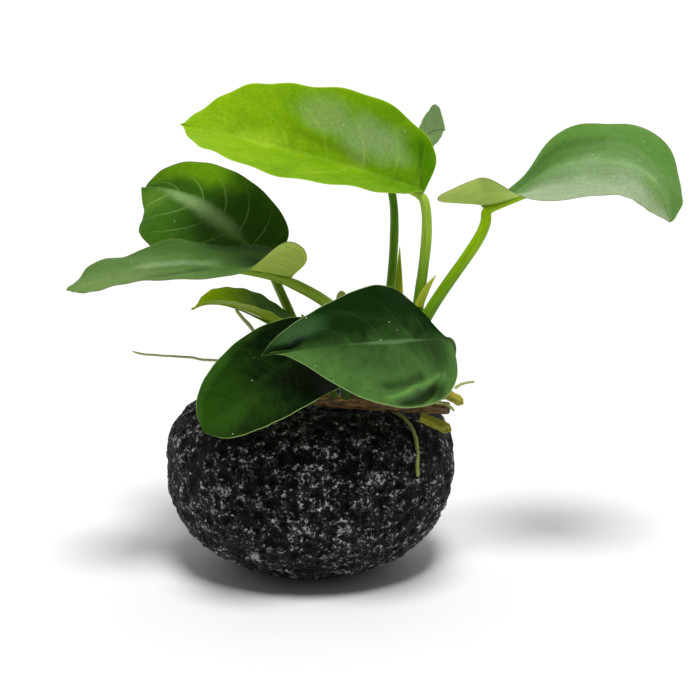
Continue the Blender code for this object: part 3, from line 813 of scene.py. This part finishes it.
    # wax worn duller in spots 4 mm apart
    wear = add_node(tree, "TexNoise", {"Vector": where, "Scale": 260, "Detail": 3})
    rough = add_node(
        tree, "MapRange",
        {
            "Value": wear, "From Min": 0.3, "From Max": 0.7,
            "To Min": tone["sheen"] - 0.08, "To Max": tone["sheen"] + 0.12,
        },
    )
    skin_bump = add_node(tree, "Bump", {"Height": cells, "Strength": 0.35, "Distance": 0.2 * MM})
    feed(shader, {
        "Base Color": dust_and_midrib_highlight, "Roughness": rough, "Normal": skin_bump, "IOR": 1.42,
        "Specular IOR Level": 0.22, "Subsurface Weight": tone["thin"],
        "Subsurface Radius": (0.9, 0.9, 0.1), "Subsurface Scale": 1.0 * MM,
    })
    return skin


for blade_seed, blade_place in enumerate(LEAVES):
    blade = build_blade(blade_place, blade_seed, wax_leaf_skin(blade_place))
    stand_for(blade, "blade_" + blade_place)

# ----------------------------------------------------------- the petioles
# The leaf stalks, juicy and springy, about 3 mm through. Each wraps the
# rhizome at its foot, thins upwards and runs on as the midrib under its blade.

# Each one's place along the rhizome, the way it leans there, the two middle
# control points of its curve, and its radius at the foot and at the top.
PETIOLES = {
    "left_back": (0.10, 45, [(-0.5, 2, 63), (-7, 6, 76.5)], (1.7, 1.2)),
    "small": (0.19, -40, [(3, -7, 64), (-1, -4, 68.5)], (0.9, 0.8)),
    "front_left": (0.27, -15, [(10.5, -11, 62), (8.5, -13, 67.5)], (1.4, 1.2)),
    "left_low": (0.42, 5, [(16, -6, 76), (4, -7, 79)], (1.7, 1.5)),
    "rear": (0.52, 60, [(21, 2, 72), (26, 9, 97.5)], (1.6, 1.1)),
    "right": (0.63, 5, [(27, -8, 80), (52.5, -4, 95.5)], (1.9, 1.4)),
    "top": (0.74, 60, [(28, -2, 76), (35, 0, 96)], (1.9, 1.3)),
    "front_right": (0.88, 20, [(37, -7, 58), (41, -9, 67)], (1.5, 1.3)),
}
PETIOLE_ROWS = 90
PETIOLE_SIDES = 24
MIDRIB_ROWS = 60
BEND_ROUNDINGS = 14
MIDRIB_SHARE = 0.9              # how much of the blade the raised midrib runs along


def build_petiole(place, seed, skin):
    """A path up the stalk's curve and on beneath the blade's midrib, rounded where the
    two meet by averaging each point with its neighbours, and a radius that falls
    along the stalk and then to a hair along the midrib."""
    along, lean, middle, (foot_radius, top_radius) = PETIOLES[place]
    leaf = {**EVERY_LEAF, **LEAVES[place]}
    lean = np.radians(lean)
    foot = bezier(RHIZOME, along) + 0.9 * np.array([0, np.sin(lean), np.cos(lean)])
    line, run, headings = midrib_run(leaf)
    u = np.linspace(0, 1, PETIOLE_ROWS)
    stalk = bezier([foot, *middle, line[0]], u)
    stalk_radii = foot_radius + (top_radius - foot_radius) * u**0.6
    share = np.linspace(0, MIDRIB_SHARE, MIDRIB_ROWS + 1)[1:]
    rib = np.stack([np.interp(share * run[-1], run, line[:, k]) for k in range(3)], axis=-1)
    heading = np.stack([np.interp(share * run[-1], run, headings[:, k]) for k in range(3)], axis=-1)
    face = np.asarray(leaf["face"], float)
    up = face[0] + (face[1] - face[0]) * share[:, None]
    up = unit(up - heading * (up * heading).sum(-1, keepdims=True))
    rib_radii = top_radius * (0.12 + 0.62 * (1 - share / MIDRIB_SHARE) ** 1.6)
    sunk = (rib_radii + 0.2)[:, None] * up
    stalk = stalk - up[0] * (0.8 * top_radius * u**6)[:, None]
    path = np.concatenate([stalk, rib - sunk])
    radii = np.concatenate([stalk_radii, rib_radii])
    for _ in range(BEND_ROUNDINGS):
        path[1:-1] = (path[:-2] + 2 * path[1:-1] + path[2:]) / 4
        radii[1:-1] = (radii[:-2] + 2 * radii[1:-1] + radii[2:]) / 4
    turn = all_round(PETIOLE_SIDES)
    place_along = np.linspace(0, 12, len(path))[:, None]
    around = together(place_along, np.cos(turn) + seed, np.sin(turn))
    uneven = 1 + 0.05 * drift_noise(around, 31) + 0.03 * np.cos(5 * turn)
    return add_stalk("petiole_" + place, path, radii[:, None] * uneven, skin)


# Soft stalk flesh under a thin skin: light goes far into it, so it glows
# yellow-green, with faint strings along it and a moist shine.
def stalk_skin(name, low, high, height_low, height_high):
    skin, tree, shader = new_skin(name)
    where = add_node(tree, "TexCoord", {}).outputs["Object"]
    growth = add_node(tree, "UVMap", {}, uv_map="growth")
    height = add_node(tree, "SeparateXYZ", {0: where})
    rise = add_node(
        tree, "MapRange",
        {"Value": height.outputs["Z"], "From Min": height_low * MM, "From Max": height_high * MM},
    )
    mixed = add_node(tree, "Mix", {0: rise, 6: srgb(low), 7: srgb(high)}, **BLEND)
    # strings about 0.6 mm apart round the stalk, and 8 mm long blotches
    strings = add_node(tree, "Mapping", {"Vector": growth, "Scale": (0.12, 3.0, 1)})
    fibre = add_node(tree, "TexNoise", {"Vector": strings, "Scale": 1, "Detail": 3})
    tint = add_node(
        tree, "MapRange",
        {"Value": fibre, "From Min": 0.3, "From Max": 0.7, "To Min": 0.72, "To Max": 1.22},
    )
    toned = add_node(tree, "Mix", {0: 1.0, 6: mixed, 7: tint}, **SHADE)
    ridges = add_node(tree, "Bump", {"Height": fibre, "Strength": 0.3, "Distance": 0.2 * MM})
    feed(shader, {
        "Base Color": toned, "Normal": ridges, "Roughness": 0.42, "IOR": 1.4,
        "Specular IOR Level": 0.3, "Subsurface Weight": 0.4,
        "Subsurface Radius": (1.0, 1.0, 0.1), "Subsurface Scale": 1.5 * MM,
    })
    return skin


# The colour low down and high up each stalk, and the heights between which it turns.
# The dark low colours of small, front_left and left_low, and the dark green of the
# front_right stalk, are painted shade in the gap under the blades.
STALK_TONES = {
    "left_back": ("#6e8a20", "#7a981e", 60, 85),
    "small": ("#3f5512", "#5d8014", 58, 70),
    "front_left": ("#33500f", "#3f6410", 55, 68),
    "left_low": ("#4d6618", "#98b83c", 62, 76),
    "rear": ("#74a01c", "#5a8a1c", 75, 105),
    "right": ("#64920a", "#98c006", 78, 104),
    "top": ("#5e8c08", "#a4c640", 80, 104),
    "front_right": ("#3f6410", "#2c5008", 55, 70),
}

for stalk_seed, (stalk_place, stalk_tone) in enumerate(STALK_TONES.items()):
    petiole_skin = stalk_skin("juicy_leaf_stalk_" + stalk_place, *stalk_tone)
    petiole = build_petiole(stalk_place, stalk_seed, petiole_skin)
    stand_for(petiole, "petiole_" + stalk_place)

# -------------------------------------------------- the bud and the shoots
# Next year's growth: a plump pale bud, a thin shoot and two papery scale
# leaves that once wrapped a petiole and now stand beside it with dry edges.

# Foot, two control points, tip, radius at the foot and at the tip.
SHOOTS = {
    "bud": ([(12.4, -10.2, 53.6), (11, -5, 60), (9.5, -2.5, 72), (9, -2, 81)], (1.2, 1.9)),
    "shoot_left": ([(6.2, -8.8, 55), (5.5, -2, 60), (1.5, 1, 67), (-2, 1.2, 73.5)], (0.9, 0.7)),
    "scale_leaf_rear": ([(24.8, 3.6, 72), (25.2, 5.2, 78), (25, 7.2, 85), (25.3, 9, 91)], (0.75, 0.45)),
    "scale_leaf_right": (
        [(30.2, -5.8, 77.5), (30.8, -5.6, 80), (32.6, -5.4, 83.4), (34.8, -5.2, 86.2)], (0.7, 0.45),
    ),
}
SHOOT_ROWS = 60
SHOOT_SIDES = 20


def build_shoot(name, skin):
    """A shoot that keeps its radius and closes to a round tip, by the root of 1 less
    the distance to the tip squared; a scale leaf is a strap, its radius turned by the
    cosine of twice the way round, and narrows from a third of its height."""
    controls, (foot_radius, tip_radius) = SHOOTS[name]
    u = np.linspace(0, 1, SHOOT_ROWS)
    radii = foot_radius + (tip_radius - foot_radius) * u
    if name.startswith("scale_leaf"):
        close, flat = np.clip((u - 0.3) / 0.7, 0, 1), 0.35
        radii = 1.35 * radii * (1 - 0.9 * close**2)
    else:
        close, flat = np.clip((u - 0.85) / 0.15, 0, 1), 0.0
        radii = radii * np.sqrt(1 - 0.98 * close**2)
    turn = all_round(SHOOT_SIDES)
    return add_stalk(name, bezier(controls, u), radii[:, None] * (1 + flat * np.cos(2 * turn)), skin)


shoot_skin = stalk_skin("pale_new_growth", "#97ab14", "#b4be38", 60, 88)
bud_skin = stalk_skin("cream_bud", "#8c8c3c", "#dcdc8c", 66, 80)
for shoot_name in SHOOTS:
    growth_skin = bud_skin if shoot_name == "bud" else shoot_skin
    stand_for(build_shoot(shoot_name, growth_skin), shoot_name)

# --------------------------------------------------------- the cut stubs
# Two stumps of leaf bases left at the end of the rhizome when old leaves were
# trimmed off: yellowing, still moist, with a ragged cut.

STUBS = {
    "stub_upper": (
        [(37.4, -5.4, 52.4), (39, -5, 52), (40.8, -4.4, 50.8), (42.8, -3.6, 48.9)], (1.4, 1.4),
    ),
    "stub_lower": (
        [(30.5, -15.2, 48.9), (33, -15.4, 47.9), (36, -15.2, 46.6), (38.9, -14.8, 44.8)], (1.2, 1.7),
    ),
}
STUB_ROWS = 60
STUB_SIDES = 36


def build_stub(name, skin):
    """A ribbed stump whose end is cut ragged: the radius is a circle with five ribs, and
    the last rows are shrunk by noise round the cut."""
    controls, (foot_radius, end_radius) = STUBS[name]
    u = np.linspace(0, 1, STUB_ROWS)[:, None]
    turn = all_round(STUB_SIDES)[None, :]
    radii = (foot_radius + (end_radius - foot_radius) * u) * (1 + 0.1 * np.cos(5 * turn))
    around = together(u * 6, 2 * np.cos(turn), 2 * np.sin(turn))
    radii = radii * (1 + 0.14 * drift_noise(around, 41) + 0.08 * drift_noise(around * 3, 42))
    ragged = np.clip((u - 0.82 - 0.12 * drift_noise(around * (0, 1.5, 1.5), 43)) / 0.12, 0, 1)
    return add_stalk(name, bezier(controls, u[:, 0]), radii * (1 - 0.75 * ragged), skin)


stub_skin = stalk_skin("yellowed_leaf_base", "#767d16", "#aaa238", 44, 52)
for stub_name in STUBS:
    stand_for(build_stub(stub_name, stub_skin), stub_name)

# -------------------------------------------------------------- the roots
# Wiry feeding roots. Some hang free in the air and some run down over the
# stone, pressed to it.

# Four control points, radius at the foot and at the tip.
FREE_ROOTS = {
    "root_left_long": ([(-1.6, -11, 54), (-10, -6, 66), (-30, -4, 60), (-48.7, -4, 64.4)], (0.45, 0.3)),
    "root_left_short": ([(-1.2, -8.5, 55), (-6, -3, 58), (-14, 0, 66), (-20.1, 0, 75.3)], (0.6, 0.5)),
    "root_right_fine": (
        [(40.6, -3.4, 53.4), (42, -3, 54.6), (44, -2.5, 54.6), (45.8, -2, 54.6)], (0.45, 0.35),
    ),
    "root_right_dark": (
        [(35, -14.2, 52.6), (36.5, -15.4, 53), (38, -16.4, 52.4), (39.4, -17.4, 51.2)], (0.4, 0.35),
    ),
}
# The course over the stone as bearings, from +X towards +Y, and heights, then the radii.
CLINGING_ROOTS = {
    "root_front": ([(-19, 50.4), (-28, 48), (-38, 43), (-37.5, 34.5)], (0.6, 0.5)),
    "root_back_left": ([(125, 50.4), (118, 48.5), (112, 42), (114, 31)], (0.6, 0.45)),
    "root_back_right": ([(62, 50.4), (58, 48), (52, 41), (55, 35)], (0.55, 0.4)),
}
ROOT_ROWS = 110
ROOT_SIDES = 14
ROOT_WANDER = 0.35
HIGHEST_COURSE = 49.6           # just under the stone's top
SECTION_STEPS = 1441            # points round half of the stone's section
COURSE_ROUNDINGS = 6


def root_radii(foot_radius, tip_radius, seed):
    """A radius for each row and each way round: it tapers, is knotted by noise, and
    closes at the tip over the last few rows."""
    u = np.linspace(0, 1, ROOT_ROWS)[:, None]
    turn = all_round(ROOT_SIDES)[None, :]
    around = together(u * 26, np.cos(turn) + seed, np.sin(turn))
    radii = (foot_radius + (tip_radius - foot_radius) * u) * (1 + 0.16 * drift_noise(around, 51))
    return radii * np.sqrt(np.clip((1.002 - u) / 0.03, 0, 1))


def build_free_root(name, seed, skin):
    """A curve with small sideways wanderings of noise that start at the foot."""
    controls, (foot_radius, tip_radius) = FREE_ROOTS[name]
    u = np.linspace(0, 1, ROOT_ROWS)
    path = bezier(controls, u)
    run = np.linalg.norm(np.diff(path, axis=0), axis=1).sum()
    beat = np.stack([u * run / 4, np.full_like(u, seed), np.zeros_like(u)], axis=-1)
    wander = np.stack([drift_noise(beat, 61 + k) for k in range(3)], axis=-1)
    path = path + ROOT_WANDER * wander * np.minimum(1, 4 * u)[:, None]
    return add_stalk(name, path, root_radii(foot_radius, tip_radius, seed), skin)


def build_clinging_root(name, seed, skin):
    """For each bearing and height, the point of the stone's section that lies at that
    height, lifted by the root's radius."""
    course, (foot_radius, tip_radius) = CLINGING_ROOTS[name]
    u = np.linspace(0, 1, ROOT_ROWS)
    bearing, height = bezier(course, u).T
    turn = np.radians(bearing)[:, None]
    tilt = np.linspace(-np.pi / 2, np.pi / 2, SECTION_STEPS)[None, :]
    ray = together(np.cos(tilt) * np.cos(turn), np.cos(tilt) * np.sin(turn), np.sin(tilt))
    section = stone_skin(ray) + ray * (foot_radius * 0.6)
    off = np.abs(section[..., 2] + STONE_WAIST - np.minimum(height, HIGHEST_COURSE)[:, None])
    nearest = np.argmin(off, axis=1)
    path = section[np.arange(ROOT_ROWS), nearest] + (0, 0, STONE_WAIST)
    for _ in range(COURSE_ROUNDINGS):
        path[1:-1] = (path[:-2] + 2 * path[1:-1] + path[2:]) / 4
    return add_stalk(name, path, root_radii(foot_radius, tip_radius, seed), skin)


# root colour, pale low down and paler higher up; the low colour is brightened to make up for the shade
# on the roots that cling to the stone: painted light
root_skin = stalk_skin("felted_root_skin", "#a3ae58", "#b4b488", 36, 66)
for root_seed, root_name in enumerate(FREE_ROOTS):
    stand_for(build_free_root(root_name, root_seed, root_skin), root_name)
for root_seed, root_name in enumerate(CLINGING_ROOTS):
    stand_for(build_clinging_root(root_name, root_seed, root_skin), root_name)

# ------------------------------------------------------ floor and light
# A matt white table and a white room: one soft light from above and a little in
# front, a bright wall behind, and a dim side towards the viewer.

FLOOR_HALF = 4000
floor_points = FLOOR_HALF * np.array([(-1, -1, 0), (1, -1, 0), (1, 1, 0), (-1, 1, 0)])
floor_skin, floor_tree, floor_shader = new_skin("matt_white_table")
floor_place = add_node(floor_tree, "TexCoord", {}).outputs["Object"]
floor_grain = add_node(floor_tree, "TexNoise", {"Vector": floor_place, "Scale": 40, "Detail": 3})
floor_tone = add_node(
    floor_tree, "Mix", {0: floor_grain, 6: srgb("#f2f2f2"), 7: srgb("#f6f6f6")}, **BLEND,
)
feed(floor_shader, {"Base Color": floor_tone, "Roughness": 0.9, "Specular IOR Level": 0.1})
table = add_piece("floor", floor_points, [(0, 1, 2, 3)], floor_skin)

sun = bpy.data.objects.new("soft_overhead", bpy.data.lights.new("soft_overhead", "SUN"))
sun.data.energy = 2.8
sun.data.angle = math.radians(20)
sun.visible_glossy = False
sun.rotation_euler = (math.radians(16), math.radians(3), 0)
bpy.context.scene.collection.objects.link(sun)

room = bpy.data.worlds.new("white_room")
room.use_nodes = True
bpy.context.scene.world = room
room_tree = room.node_tree
room_tree.nodes.clear()
room_way = add_node(room_tree, "TexCoord", {}).outputs["Generated"]
room_axes = add_node(room_tree, "SeparateXYZ", {0: room_way})
room_bright = add_node(
    room_tree, "MapRange",
    {"Value": room_axes.outputs["Y"], "From Min": -0.5, "From Max": 0.4, "To Min": 0.1, "To Max": 0.54},
    interpolation_type="SMOOTHSTEP",
)
room_seen = add_node(room_tree, "LightPath", {})
room_level = add_node(
    room_tree, "Mix", {0: room_seen.outputs["Is Camera Ray"], 2: room_bright, 3: 1.0},
    data_type="FLOAT",
)
room_light = add_node(room_tree, "Background", {"Color": (1, 1, 1, 1), "Strength": room_level})
add_node(room_tree, "OutputWorld", {"Surface": room_light})

bpy.context.scene.view_settings.view_transform = "Standard"
